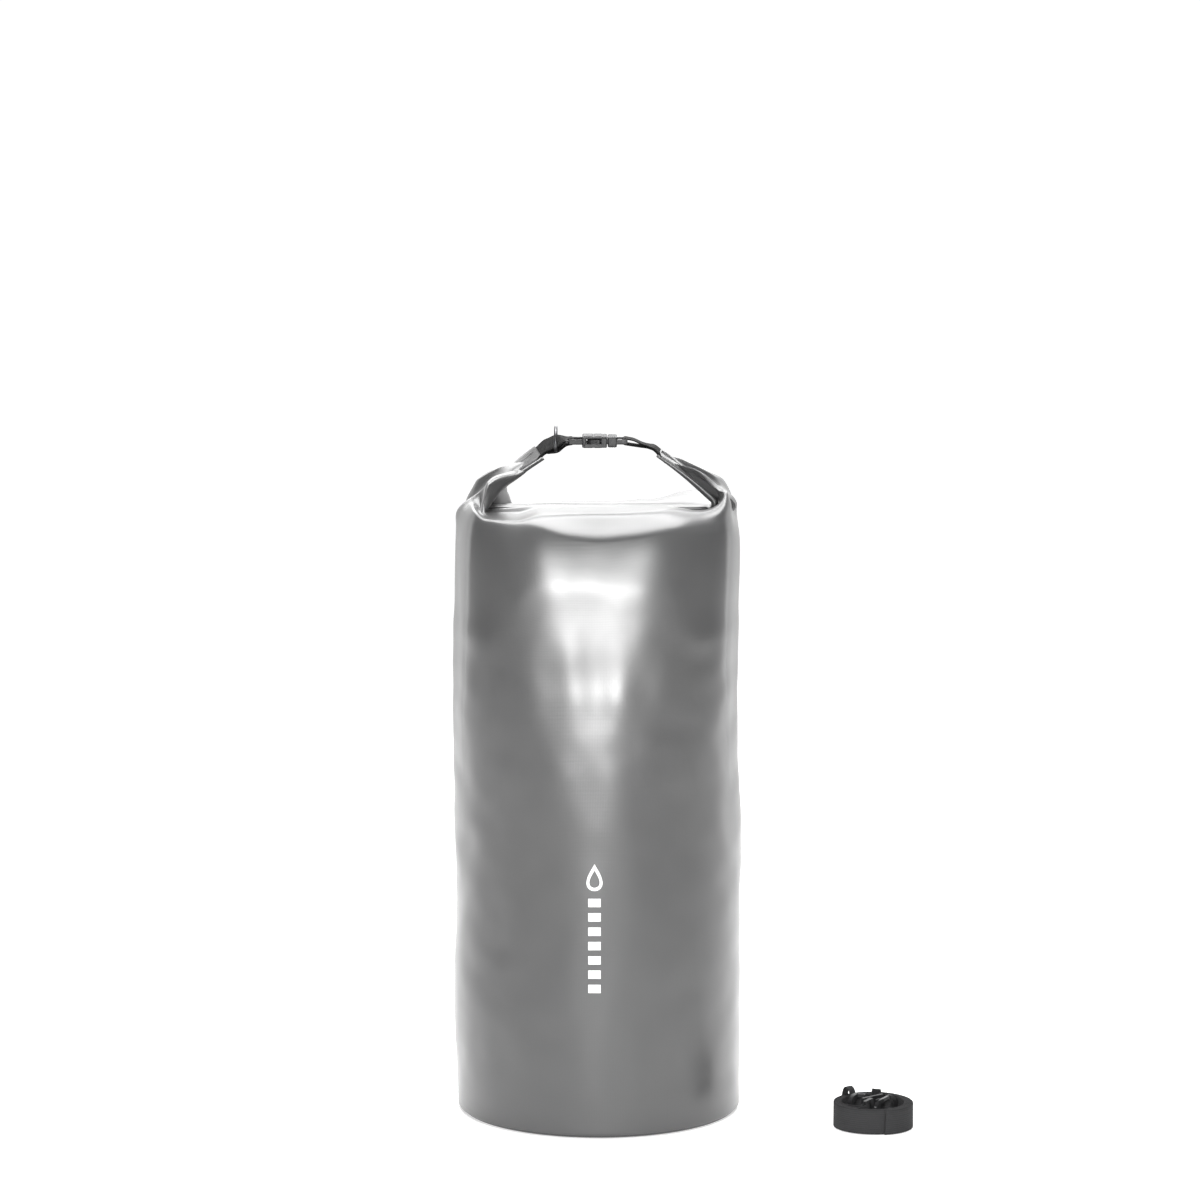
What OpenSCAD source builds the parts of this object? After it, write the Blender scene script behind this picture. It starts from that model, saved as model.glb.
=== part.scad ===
// Roll-top dry bag for rope, closed and clipped, with its detachable shoulder strap coiled beside it.
// Millimetres. +Z is up, the front faces -Y, and the origin is the centre of the base on the floor.

/* [Bag] */
// Outside diameter of the filled tube
bag_d = 286; // [270:2:300]
// Height at which the round tube starts to close
body_h = 548; // [500:1:560]
// Height of the closed top, under the rolled mouth
top_h = 610; // [600:1:620]
// Thickness of the coated fabric
fabric_t = 1; // [0.8:0.1:1.4]

/* [Rolled mouth] */
// Width of the rolled mouth, front to back
roll_w = 28; // [26:1:30]
// Thickness of the rolled mouth
roll_t = 11; // [10:0.5:12]
// Half the distance between the two shoulder bends
bend_x = 115; // [112:1:118]
// Height of each roll end's flex point above its shoulder bend
end_rise = 61; // [58:1:64]
// Half the distance between the two roll ends' flex points
end_x = 53.5; // [53:0.5:56]

/* [Webbing and rings] */
// Width of all webbing
web_w = 25; // [24:0.5:25]
// Thickness of all webbing
web_t = 1.5; // [1.2:0.1:1.6]
// Diameter of the rings' wire
wire_d = 3.5; // [3:0.5:4]
// Tilt of the top ring on its webbing, front end lower
ring_roll = 26; // [0:1:35]

/* [Buckle] */
// Width of the side-release buckle
buckle_w = 34; // [33:1:36]
// Thickness of the side-release buckle
buckle_t = 11; // [10.5:0.5:12]
// Height of the buckle above the shoulder bends
buckle_rise = 66; // [65:0.5:68]

/* [Shoulder strap] */
// Distance of the coiled strap to the right of the bag's axis
coil_x = 276; // [240:1:300]
// Distance of the coiled strap in front of the bag's axis
coil_y = 90; // [0:1:120]
// Outside radius of the coil
coil_r = 38.5; // [38:0.5:42]
// Inside radius of the coil
coil_inner_r = 31; // [30:0.5:32]

/* [Hidden] */
$fn = 64;

bag_r = bag_d / 2;
bend_z = top_h + 10;
flex_z = bend_z + end_rise;
buckle_z = bend_z + buckle_rise;
wire_r = wire_d / 2;
play = 0.3;                 // clearance between separate pieces
pocket_r = 27;              // pocket at each shoulder in which the roll end turns
pocket_half = 24;           // half the pocket's depth, front to back
horn_l = norm([bend_x - end_x, end_rise]);
horn_angle = atan2(end_rise, bend_x - end_x);

// ---------- the bag's fabric tube ----------

tube_sides = 64;
tube_foot = 3;              // the tube's lower hem stands this far off the floor
top_steps = 10;
crest_half = roll_w / 2 + 2;    // half the depth of the flat strip that the rolled mouth lies on
crest_x = bag_r - 4;            // half the width of that strip
close_power = 3;                // how square the shoulder's profile is

// Height and half sizes of the tube at step i: straight below body_h, closing above it.
function closing(s) = pow(1 - pow(s, close_power), 1 / close_power);
function level(i) =
    i == 0 ? [tube_foot, bag_r - 1, bag_r - 1] :
    i == 1 ? [tube_foot + 12, bag_r, bag_r] :
    i == 2 ? [body_h / 2, bag_r - 1.5, bag_r - 1.5] :
    let (s = (i - 3) / top_steps, q = sin(s * 90))
        [body_h + (top_h - body_h) * q,
         crest_x + (bag_r - crest_x) * closing(q),
         crest_half + (bag_r - crest_half) * closing(q)];
levels = top_steps + 4;

function ring(i, inset) =
    let (l = level(i), drop = i > 3 || i == 0 ? inset : 0)
        [for (k = [0 : tube_sides - 1])
            let (a = 360 * k / tube_sides)
                [(l[1] - inset) * cos(a), (l[2] - inset) * sin(a), l[0] - drop]];

bands = [for (i = [0 : levels - 2], k = [0 : tube_sides - 1])
    let (a = i * tube_sides, n = (k + 1) % tube_sides)
        [a + k, a + tube_sides + k, a + tube_sides + n, a + n]];

// The filled bag's shape, shrunk by inset.
module bag_form(inset) {
    last = (levels - 1) * tube_sides;
    points = [for (i = [0 : levels - 1]) each ring(i, inset)];
    foot = [for (k = [0 : tube_sides - 1]) k];
    top = [for (k = [0 : tube_sides - 1]) last + tube_sides - 1 - k];
    polyhedron(points, concat(bands, [foot, top]), convexity = 4);
}

module shoulder_pockets(grow) {
    for (side = [-1, 1])
        translate([side * bend_x, 0, bend_z])
            rotate([90, 0, 0])
                cylinder(r = pocket_r + grow, h = 2 * (pocket_half + grow), center = true);
}

// Coated fabric tube, closed at the top and open at its foot, where the base is welded in.
module bag_tube() {
    color("gray") difference() {
        bag_form(0);
        shoulder_pockets(0);
        difference() {
            bag_form(fabric_t);
            shoulder_pockets(fabric_t);
        }
    }
}

// Round base, cut with an upturned flange that is welded inside the tube.
module base_panel() {
    flange_r = bag_r - 1.5 - fabric_t - play;
    flange_h = 16;
    color("dimgray") rotate_extrude($fn = 128)
        polygon([
            [0, 0], [flange_r - 2, 0], [flange_r, 2], [flange_r, flange_h],
            [flange_r - fabric_t, flange_h], [flange_r - fabric_t, fabric_t], [0, fabric_t]
        ]);
}

tape_w = 22;
tape_t = 0.8;

// Part of a round shell that lies against the back of the bag.
module back_shell(inner_r, thick, w, low, high) {
    intersection() {
        difference() {
            translate([0, 0, low]) cylinder(r = inner_r + thick, h = high - low, $fn = 128);
            translate([0, 0, low - 1]) cylinder(r = inner_r, h = high - low + 2, $fn = 128);
        }
        translate([-w / 2, bag_r / 2, low - 1]) cube([w, bag_r, high - low + 2]);
    }
}

module back_seam_tape() {
    color("gray") back_shell(bag_r + 0.1, tape_t, tape_w, tube_foot + 3, body_h - 4);
}

// ---------- the rolled mouth across the top ----------

roll_z = top_h + 0.4 + roll_t / 2;
roll_half = bend_x - pocket_r - 0.5;
stiffener = [2 * roll_half - 20, 20, 1.6];

module mouth_roll() {
    color("gray") difference() {
        translate([0, 0, roll_z]) cube([2 * roll_half, roll_w, roll_t], center = true);
        translate([0, 0, roll_z]) cube(stiffener + [play, play, play], center = true);
    }
}

// Flat plastic strip that keeps the mouth straight while it is rolled.
module mouth_stiffener() {
    color("white") translate([0, 0, roll_z]) cube(stiffener, center = true);
}

// ---------- the turned-up roll ends ----------

// Places children in an end's own frame: X along the end from its shoulder bend, Z across it, up and out.
module end_frame(side) {
    mirror([side > 0 ? 1 : 0, 0, 0])
        translate([-bend_x, 0, bend_z])
            rotate([0, -horn_angle, 0])
                children();
}

end_start = -12;            // where the roll end starts, inside the pocket
end_stop = horn_l - 5;
tab_in = 34;                // length of webbing tab that is sewn into the roll end
shut_gap = web_t / 2 + play + web_t;    // from the flex point to the middle of a webbing loop's closed end

module roll_end(side) {
    color("gray") end_frame(side) difference() {
        translate([end_start, -roll_w / 2, -roll_t / 2])
            cube([end_stop - end_start, roll_w, roll_t]);
        translate([end_stop - tab_in, -web_w / 2 - play, -web_t / 2 - play])
            cube([tab_in + 1, web_w + 2 * play, web_t + 2 * play]);
    }
}

// Webbing sewn into the roll end, its free end rounded about the flex point.
module webbing_tab(side) {
    inner_x = end_stop - tab_in + play;
    color("black") end_frame(side) {
        translate([inner_x, -web_w / 2, -web_t / 2]) cube([horn_l - inner_x, web_w, web_t]);
        translate([horn_l, 0, 0]) rotate([90, 0, 0])
            cylinder(r = web_t / 2, h = web_w, center = true, $fn = 32);
    }
}

gusset_knee = pocket_r - 1;     // radius of the gusset's foot about the shoulder bend
gusset_foot_half = 22;          // half the gusset's depth at its foot
gusset_tip_half = 12;           // half its depth at the roll end's tip
gusset_low = roll_t / 2 + play; // its open underside, above the roll end

// Outer shape of the fabric gusset above a roll end, shrunk by inset.
module gusset_form(inset) {
    hull() {
        intersection() {
            rotate([90, 0, 0])
                cylinder(
                    r = gusset_knee - inset, h = 2 * (gusset_foot_half - inset), center = true, $fn = 32
                );
            translate([-50, -50, gusset_low]) cube([100, 100, 100]);
        }
        translate([end_stop - 6 - inset, -gusset_tip_half + inset, gusset_low])
            cube([4, 2 * (gusset_tip_half - inset), max(0.4, 2.2 - inset)]);
    }
}

// Side fold of the tube, pulled up into a hollow triangle by the roll end. Its underside is open.
module gusset(side) {
    color("gray") end_frame(side) difference() {
        gusset_form(0);
        translate([0, 0, -fabric_t]) gusset_form(fabric_t);
    }
}

// ---------- rings, webbing and the back attachment ----------

ring_half = web_w / 2 + 0.5 + wire_r;   // half the ring's width, at the middle of its wire
ring_leg = 3;

// D-ring in the YZ plane, its straight bar along Y through the origin and its bow towards +Z.
module d_ring() {
    translate([0, 0, ring_leg]) rotate([90, 0, 90])
        rotate_extrude(angle = 180) translate([ring_half, 0]) circle(r = wire_r, $fn = 32);
    for (side = [-1, 1]) {
        translate([0, side * ring_half, 0]) cylinder(r = wire_r, h = ring_leg, $fn = 32);
        translate([0, side * ring_half, 0]) sphere(r = wire_r, $fn = 32);
    }
    rotate([90, 0, 0]) cylinder(r = wire_r, h = 2 * ring_half, center = true, $fn = 32);
}

bar_r = 2;                  // radius of each bar that webbing loops round
loop_play = 0.2;
loop_r = bar_r + loop_play + web_t;

// Cylinder across the XZ plane at (x, z), its front end lowered by roll.
module across(r, x, z, w, roll = 0) {
    translate([x, 0, z]) rotate([90 + roll, 0, 0]) cylinder(r = r, h = w, center = true, $fn = 32);
}

// Sewn webbing loop round a bar at the origin and a thinner one of radius held[2], closing at shut.
// The webbing twists by roll where it passes the thinner bar.
module webbing_loop(held, shut, roll = 0) {
    difference() {
        union() {
            hull() {
                across(loop_r, 0, 0, web_w);
                across(held[2] + web_t, held[0], held[1], web_w, roll);
            }
            hull() {
                across(held[2] + web_t, held[0], held[1], web_w, roll);
                across(web_t, shut[0], shut[1], web_w);
            }
        }
        hull() {
            across(bar_r + loop_play, 0, 0, web_w + 2);
            across(held[2], held[0], held[1], web_w + 2, roll);
        }
    }
}

patch_w = 72;
patch_low = 62;
patch_high = 142;
patch_r = bag_r + 0.1 + tape_t + 0.2;
tab_y = patch_r + fabric_t + 0.1;       // inner face of the tab on the patch
lower_bar_y = tab_y + wire_r + loop_play + web_t;
lower_bar_z = patch_low + 28;

module ring_patch() {
    color("dimgray") back_shell(patch_r, fabric_t, patch_w, patch_low, patch_high);
}

module ring_tab() {
    hole_r = wire_r + loop_play;
    color("black") difference() {
        union() {
            translate([-web_w / 2, tab_y, lower_bar_z]) cube([web_w, web_t, patch_high - lower_bar_z - 12]);
            translate([0, lower_bar_y, lower_bar_z]) rotate([0, 90, 0])
                cylinder(r = hole_r + web_t, h = web_w, center = true, $fn = 32);
        }
        translate([0, lower_bar_y, lower_bar_z]) rotate([0, 90, 0])
            cylinder(r = hole_r, h = web_w + 2, center = true, $fn = 32);
    }
}

module lower_ring() {
    color("silver") translate([0, lower_bar_y, lower_bar_z])
        rotate([180, 0, 90]) d_ring();
}

// ---------- side-release buckle ----------

frame_half = buckle_w / 2;
mouth_x = 8;                // face of the housing that the plug enters
housing_back = -17;
cavity_half = frame_half - 2.4;
cavity_t = 6.4;
window = [-12.5, 2];        // side windows that the latch pads show through
housing_bar_x = -28.5;
plug_bar_x = 26.8;
arm_root = [11, 10.5];      // pivot of each latch arm, from the buckle's centre
arm_root_r = 1.9;
arm_t = 5.4;

module at_buckle() {
    translate([0, 0, buckle_z]) children();
}

// Block with rounded edges along its length, from x0 to x1.
module rounded_block(x0, x1, half_w, t, r) {
    hull()
        for (y = [-1, 1], z = [-1, 1])
            translate([x0, y * (half_w - r), z * (t / 2 - r)])
                rotate([0, 90, 0]) cylinder(r = r, h = x1 - x0, $fn = 24);
}

// Open frame with a round bar at bar_x, joined to the body at root_x.
module webbing_frame(bar_x, root_x, half_w) {
    rail = half_w - web_w / 2 - 0.5;
    low = min(bar_x, root_x);
    long = abs(root_x - bar_x);
    for (y = [-1, 1])
        translate([low, y > 0 ? half_w - rail : -half_w, -bar_r]) cube([long, rail, 2 * bar_r]);
    translate([bar_x, 0, 0]) rotate([90, 0, 0])
        cylinder(r = bar_r, h = 2 * half_w, center = true, $fn = 32);
}

module buckle_housing() {
    color("black") at_buckle() {
        difference() {
            rounded_block(housing_back, mouth_x, frame_half, buckle_t, 2.5);
            translate([housing_back + 2.5, -cavity_half, -cavity_t / 2])
                cube([mouth_x - housing_back, 2 * cavity_half, cavity_t]);
            translate([window[0], -frame_half - 1, -cavity_t / 2])
                cube([window[1] - window[0], buckle_w + 2, cavity_t]);
        }
        webbing_frame(housing_bar_x, housing_back + 0.5, frame_half - 1);
    }
}

module buckle_plug() {
    shoulder_l = 10;
    color("black") at_buckle() {
        difference() {
            rounded_block(mouth_x + 0.8, mouth_x + shoulder_l, frame_half - 0.5, buckle_t - 0.6, 2.5);
            for (y = [-1, 1]) {
                translate([arm_root.x, y * arm_root.y, 0])
                    cylinder(r = arm_root_r + 0.2, h = buckle_t, center = true, $fn = 32);
                translate([mouth_x, y * arm_root.y - (y > 0 ? 2.4 : 3.2), -arm_t / 2 - 0.2])
                    cube([arm_root.x - mouth_x, 5.6, arm_t + 0.4]);
            }
        }
        translate([-12, -3.8, -2.4]) cube([mouth_x + 14, 7.6, 4.8]);
        webbing_frame(plug_bar_x, mouth_x + shoulder_l - 0.5, frame_half - 1);
    }
}

// Sprung arm of the plug, drawn for the rear side: a round root, a thin arm and the pad in the window.
module latch_arm(side) {
    pad_in = 9.6;
    pad_out = frame_half - 0.4;
    color("black") at_buckle() mirror([0, side < 0 ? 1 : 0, 0]) {
        translate([arm_root.x, arm_root.y, 0])
            cylinder(r = arm_root_r, h = arm_t, center = true, $fn = 32);
        translate([0, 0, -arm_t / 2]) linear_extrude(arm_t)
            polygon([
                [arm_root.x, arm_root.y - 1.4], [arm_root.x, arm_root.y + 1.4],
                [window[1] - 0.6, arm_root.y + 1.6], [window[1] - 0.6, pad_out - 1],
                [window[1] - 1.8, pad_out], [-7, pad_out], [-10, pad_out - 1.6],
                [-12, pad_out - 4.4], [-12, pad_in], [window[1] - 2, pad_in - 0.2]
            ]);
    }
}

// ---------- webbing between the roll ends and the buckle ----------

top_ring_x = -43.6;
top_ring_z = flex_z + 1.8;

// Left piece: round the housing's bar and the top ring's straight bar.
module left_webbing() {
    held = [housing_bar_x - top_ring_x, top_ring_z - buckle_z, wire_r + loop_play];
    shut = [housing_bar_x + end_x - shut_gap, flex_z - buckle_z];
    color("black") at_buckle() translate([housing_bar_x, 0, 0]) mirror([1, 0, 0])
        webbing_loop(held, shut, ring_roll);
}

// Right piece: round the plug's bar only.
module right_webbing() {
    reach = end_x - shut_gap - plug_bar_x;
    color("black") at_buckle() translate([plug_bar_x, 0, 0])
        webbing_loop([reach * 0.55, (flex_z - buckle_z) * 0.55, 0.3], [reach, flex_z - buckle_z]);
}

module top_ring() {
    color("silver") translate([top_ring_x, 0, top_ring_z]) rotate([ring_roll, 0, 0]) d_ring();
}

// ---------- coiled shoulder strap ----------

module at_coil() {
    translate([coil_x, -coil_y, 0]) children();
}

module strap_webbing() {
    color("black") at_coil() rotate_extrude($fn = 96)
        translate([coil_inner_r, 0]) square([coil_r - coil_inner_r, web_w]);
}

hook_offset = 13;           // each hook lies along a chord this far from the coil's middle
hook_turn = 40;             // direction of that chord, about +Z
hook_tilt = 12;             // each hook's nose is raised by this angle
hook_z = 21;
hook_t = 5;
hook_bar_x = -19.2;
nose_x = 10;                // centre of the nose's round end
nose_r = 10;
eye_r = 5.5;
gate_pivot = [0.5, 7.75];
gate_pin_r = 1;
cheek_t = 0.8;

// Places children on a hook: X along it towards its nose, Y up, Z through it.
module at_hook(which) {
    turn = hook_turn + (which == "a" ? 180 : 0);
    at_coil() rotate([0, 0, turn]) translate([0, -hook_offset, hook_z])
        rotate([0, -hook_tilt, 0]) rotate([90, 0, 0]) children();
}

// Plastic snap hook for webbing, without its gate.
module snap_hook(which) {
    base_half = web_w / 2 + 3;
    color("black") at_hook(which) {
        difference() {
            union() {
                translate([2, 0, 0]) cylinder(r = nose_r, h = hook_t, center = true);
                translate([nose_x, 0, 0]) cylinder(r = nose_r, h = hook_t, center = true);
                translate([2, -nose_r, -hook_t / 2]) cube([nose_x - 2, 2 * nose_r, hook_t]);
                translate([-13, -4.5, -hook_t / 2]) cube([8, 9, hook_t]);
                translate([-15, -base_half, -hook_t / 2]) cube([4, 2 * base_half, hook_t]);
            }
            translate([2, 0, 0]) cylinder(r = eye_r, h = hook_t + 2, center = true);
            translate([nose_x, 0, 0]) cylinder(r = eye_r, h = hook_t + 2, center = true);
            translate([2, -eye_r, -hook_t]) cube([nose_x - 2, 2 * eye_r, 2 * hook_t]);
            translate([-1.8, 3, -hook_t]) cube([14.2, 10, 2 * hook_t]);
        }
        for (y = [-1, 1])
            translate([hook_bar_x, y > 0 ? base_half - 2.6 : -base_half, -bar_r])
                cube([-14 - hook_bar_x, 2.6, 2 * bar_r]);
        translate([hook_bar_x, 0, 0]) rotate([90, 0, 0])
            cylinder(r = bar_r, h = 2 * base_half, center = true, $fn = 32);
        for (z = [-hook_t / 2, hook_t / 2 - cheek_t]) {
            translate([gate_pivot.x, gate_pivot.y, z]) cylinder(r = 2.2, h = cheek_t, $fn = 32);
            translate([-4, gate_pivot.y - 2.2, z]) cube([4.5, 4.4, cheek_t]);
        }
        translate([gate_pivot.x, gate_pivot.y, 0])
            cylinder(r = gate_pin_r, h = hook_t, center = true, $fn = 32);
    }
}

// Gate that closes the hook's eye and turns inwards about a cross pin at its root.
module hook_gate(which) {
    gate_l = 11.2;
    gate_t = hook_t - 2 * cheek_t - 0.4;
    color("dimgray") at_hook(which) translate([gate_pivot.x, gate_pivot.y, 0]) difference() {
        union() {
            cylinder(r = 1.9, h = gate_t, center = true, $fn = 32);
            translate([0, -1.7, -gate_t / 2]) cube([gate_l, 3.2, gate_t]);
        }
        cylinder(r = gate_pin_r + 0.08, h = hook_t, center = true, $fn = 32);
    }
}

// Sewn end of the strap, looped round the hook's bar.
module strap_end(which) {
    color("black") at_hook(which) translate([hook_bar_x, 0, 0])
        rotate([0, 0, 180]) webbing_loop([2, 0, 0.3], [4.4, 0]);
}

slider_w = web_w + 6;
slider_l = 28;
slider_t = 3;

// Three-bar slider that sets the strap's length, standing between the two hooks.
module strap_slider() {
    slot = [7, web_w + 0.8];
    color("black") at_coil() rotate([0, 0, hook_turn]) translate([0, 0, slider_w / 2 + 0.1])
        rotate([90, 0, 0]) difference() {
            translate([-slider_l / 2, -slider_w / 2, -slider_t / 2]) cube([slider_l, slider_w, slider_t]);
            for (x = [-1, 1])
                translate([x * 6.4 - slot.x / 2, -slot.y / 2, -slider_t])
                    cube([slot.x, slot.y, 2 * slider_t]);
        }
}

bag_tube();
base_panel();
back_seam_tape();
mouth_roll();
mouth_stiffener();
ring_patch();
ring_tab();
lower_ring();
gusset(-1);  // left_gusset
roll_end(-1);  // left_roll_end
webbing_tab(-1);  // left_tab
gusset(1);  // right_gusset
roll_end(1);  // right_roll_end
webbing_tab(1);  // right_tab
buckle_housing();
left_webbing();
top_ring();
buckle_plug();
right_webbing();
latch_arm(-1);  // front_latch_arm
latch_arm(1);  // rear_latch_arm
strap_webbing();
strap_end("a");  // strap_end_a
strap_end("b");  // strap_end_b
strap_slider();
snap_hook("a");  // hook_a
hook_gate("a");  // hook_a_gate
snap_hook("b");  // hook_b
hook_gate("b");  // hook_b_gate
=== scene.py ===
import bpy
import bmesh
import math
import numpy as np
from mathutils import Matrix, Vector
from mathutils.bvhtree import BVHTree


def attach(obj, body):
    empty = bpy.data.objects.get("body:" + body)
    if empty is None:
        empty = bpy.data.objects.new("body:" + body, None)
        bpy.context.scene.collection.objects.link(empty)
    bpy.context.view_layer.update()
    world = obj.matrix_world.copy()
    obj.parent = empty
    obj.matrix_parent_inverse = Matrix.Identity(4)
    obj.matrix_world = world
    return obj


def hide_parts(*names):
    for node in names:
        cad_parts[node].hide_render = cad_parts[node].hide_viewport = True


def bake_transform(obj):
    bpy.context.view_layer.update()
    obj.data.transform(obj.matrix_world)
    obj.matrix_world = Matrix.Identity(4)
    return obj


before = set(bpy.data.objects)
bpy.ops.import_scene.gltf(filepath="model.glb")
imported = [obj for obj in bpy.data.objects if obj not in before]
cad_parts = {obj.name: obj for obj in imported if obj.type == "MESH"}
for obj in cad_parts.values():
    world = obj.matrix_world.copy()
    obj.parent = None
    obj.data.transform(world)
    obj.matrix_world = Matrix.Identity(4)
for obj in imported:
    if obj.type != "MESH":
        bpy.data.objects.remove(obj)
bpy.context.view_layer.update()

MM = 0.001
scene = bpy.context.scene

# ---------- camera ----------
camera = bpy.data.objects.new("camera", bpy.data.cameras.new("camera"))
scene.collection.objects.link(camera)
camera.location = (0.001, -4.459, 1.127)
aim = Vector((0.001, 0.0, 0.5238)) - camera.location
camera.rotation_euler = aim.to_track_quat("-Z", "Y").to_euler()
camera.data.lens = 133.1
camera.data.sensor_width = 36.0
scene.camera = camera


# ---------- materials ----------
class Graph:
    """Short calls for building a material's nodes."""

    def __init__(self, name):
        self.material = bpy.data.materials.new(name)
        self.material.use_nodes = True
        self.tree = self.material.node_tree
        self.shader = self.tree.nodes["Principled BSDF"]

    def node(self, kind, **sockets):
        made = self.tree.nodes.new(kind)
        for key, value in sockets.items():
            self.put(made.inputs[key], value)
        return made

    def put(self, socket, value):
        if isinstance(value, bpy.types.NodeSocket):
            self.tree.links.new(value, socket)
        else:
            socket.default_value = value

    def math(self, operation, *values):
        made = self.tree.nodes.new("ShaderNodeMath")
        made.operation = operation
        for i, value in enumerate(values):
            self.put(made.inputs[i], value)
        return made.outputs[0]

    def scaled(self, value, low, high, to_low, to_high):
        made = self.tree.nodes.new("ShaderNodeMapRange")
        for i, v in enumerate((value, low, high, to_low, to_high)):
            self.put(made.inputs[i], v)
        return made.outputs[0]

    def noise(self, vector, scale, detail=2.0, roughness=0.5):
        made = self.node("ShaderNodeTexNoise", Vector=vector, Scale=scale, Detail=detail, Roughness=roughness)
        return made.outputs[0]

    def object_space(self):
        return self.node("ShaderNodeTexCoord").outputs["Object"]

    def uv(self):
        split = self.node("ShaderNodeSeparateXYZ", Vector=self.node("ShaderNodeTexCoord").outputs["UV"])
        return split.outputs[0], split.outputs[1]

    def colour(self, factor, dark, light):
        ramp = self.tree.nodes.new("ShaderNodeMix")
        ramp.data_type = "RGBA"
        self.put(ramp.inputs[0], factor)
        self.put(ramp.inputs[6], (*dark, 1.0))
        self.put(ramp.inputs[7], (*light, 1.0))
        return ramp.outputs[2]

    def bump(self, height, distance, strength, under=None):
        made = self.node("ShaderNodeBump", Height=height, Distance=distance, Strength=strength)
        if under is not None:
            self.put(made.inputs["Normal"], under)
        return made.outputs[0]

    def set(self, **values):
        for key, value in values.items():
            self.put(self.shader.inputs[key.replace("_", " ")], value)


def coated_fabric(name, light, dark, rough, weave=1.0):
    """PVC-coated polyester: satin coat with the woven scrim, 1.6 by 1.3 mm, showing through."""
    g = Graph(name)
    where = g.object_space()
    u, v = g.uv()
    cloud = g.noise(where, 7.0, 3.0)
    fine = g.noise(where, 900.0, 2.0)
    warp = g.math("SINE", g.math("MULTIPLY", u, math.tau / 0.0016))
    weft = g.math("SINE", g.math("MULTIPLY", v, math.tau / 0.0013))
    uneven = g.noise(g.node("ShaderNodeMapping", Vector=where, Scale=(12, 12, 420)).outputs[0], 1.0, 3.0)
    scrim = g.math("ADD", g.math("MULTIPLY", warp, 0.35), g.math("MULTIPLY", weft, 0.65))
    scrim = g.math("ADD", scrim, g.math("MULTIPLY", uneven, 2.2))
    g.set(
        Base_Color=g.colour(g.scaled(cloud, 0.3, 0.7, 0.0, 1.0), dark, light),
        Roughness=g.scaled(g.noise(where, 24.0, 4.0), 0.3, 0.7, rough - 0.03, rough + 0.04),
        Coat_Weight=0.6,
        Coat_Roughness=0.28,
        IOR=1.5,
        Normal=g.bump(fine, 0.00002, 0.5, g.bump(scrim, 0.000045 * weave, 0.5)),
    )
    return g.material


def webbing(name, light, dark, pitch=0.0021):
    """Woven polyester webbing: chevron ribs along its length and a denser edge."""
    g = Graph(name)
    where = g.object_space()
    u, v = g.uv()
    zig = g.math("PINGPONG", v, pitch)
    rib = g.math("SINE", g.math("MULTIPLY", g.math("ADD", u, zig), math.tau / (pitch * 0.62)))
    lane = g.math("SINE", g.math("MULTIPLY", v, math.tau / pitch))
    fuzz = g.noise(where, 2200.0, 3.0, 0.7)
    weave = g.math("ADD", g.math("MULTIPLY", rib, 0.5), g.math("MULTIPLY", lane, 0.35))
    shade = g.math("ADD", g.scaled(weave, -0.85, 0.85, 0.0, 0.6), g.math("MULTIPLY", fuzz, 0.5))
    edge = g.scaled(g.math("ABSOLUTE", v), 0.0112, 0.0118, 1.0, 0.6)
    g.set(
        Base_Color=g.colour(g.math("MULTIPLY", shade, edge), dark, light),
        Roughness=g.scaled(fuzz, 0.3, 0.7, 0.66, 0.86),
        Specular_IOR_Level=0.10,
        Normal=g.bump(fuzz, 0.00012, 0.5, g.bump(weave, 0.00022, 0.7)),
    )
    return g.material


def moulded_plastic(name, light, dark, rough):
    """Acetal moulding: faint flow marks, fine spark-eroded texture and scuffed edges."""
    g = Graph(name)
    where = g.object_space()
    cloud = g.noise(where, 60.0, 3.0)
    grain = g.noise(where, 3000.0, 2.0)
    worn = g.scaled(g.node("ShaderNodeNewGeometry").outputs["Pointiness"], 0.52, 0.62, 0.0, 0.5)
    shade = g.math("ADD", g.scaled(cloud, 0.3, 0.7, 0.0, 0.5), worn)
    g.set(
        Base_Color=g.colour(shade, dark, light),
        Roughness=g.scaled(g.noise(where, 180.0, 4.0), 0.3, 0.7, rough - 0.05, rough + 0.07),
        IOR=1.48,
        Specular_IOR_Level=0.28,
        Normal=g.bump(grain, 0.00003, 0.4),
    )
    return g.material


def plated_wire(name):
    """Bent and welded steel wire with a dark nickel plating."""
    g = Graph(name)
    where = g.object_space()
    cloud = g.noise(where, 90.0, 3.0)
    drawn = g.noise(where, 1400.0, 3.0, 0.6)
    shade = g.scaled(cloud, 0.3, 0.7, 0.0, 1.0)
    g.set(
        Base_Color=g.colour(shade, (0.060, 0.060, 0.062), (0.120, 0.120, 0.124)),
        Metallic=1.0,
        Roughness=g.scaled(drawn, 0.3, 0.7, 0.26, 0.40),
        Normal=g.bump(drawn, 0.00002, 0.3),
    )
    return g.material


def print_ink(name):
    """White screen print, a little worn."""
    g = Graph(name)
    where = g.object_space()
    worn = g.noise(where, 420.0, 3.0)
    shade = g.scaled(worn, 0.35, 0.6, 0.0, 1.0)
    g.set(
        Base_Color=g.colour(shade, (0.80, 0.80, 0.80), (0.90, 0.90, 0.90)),
        Roughness=g.scaled(worn, 0.3, 0.7, 0.40, 0.50),
        Normal=g.bump(worn, 0.00002, 0.4),
    )
    return g.material


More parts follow.
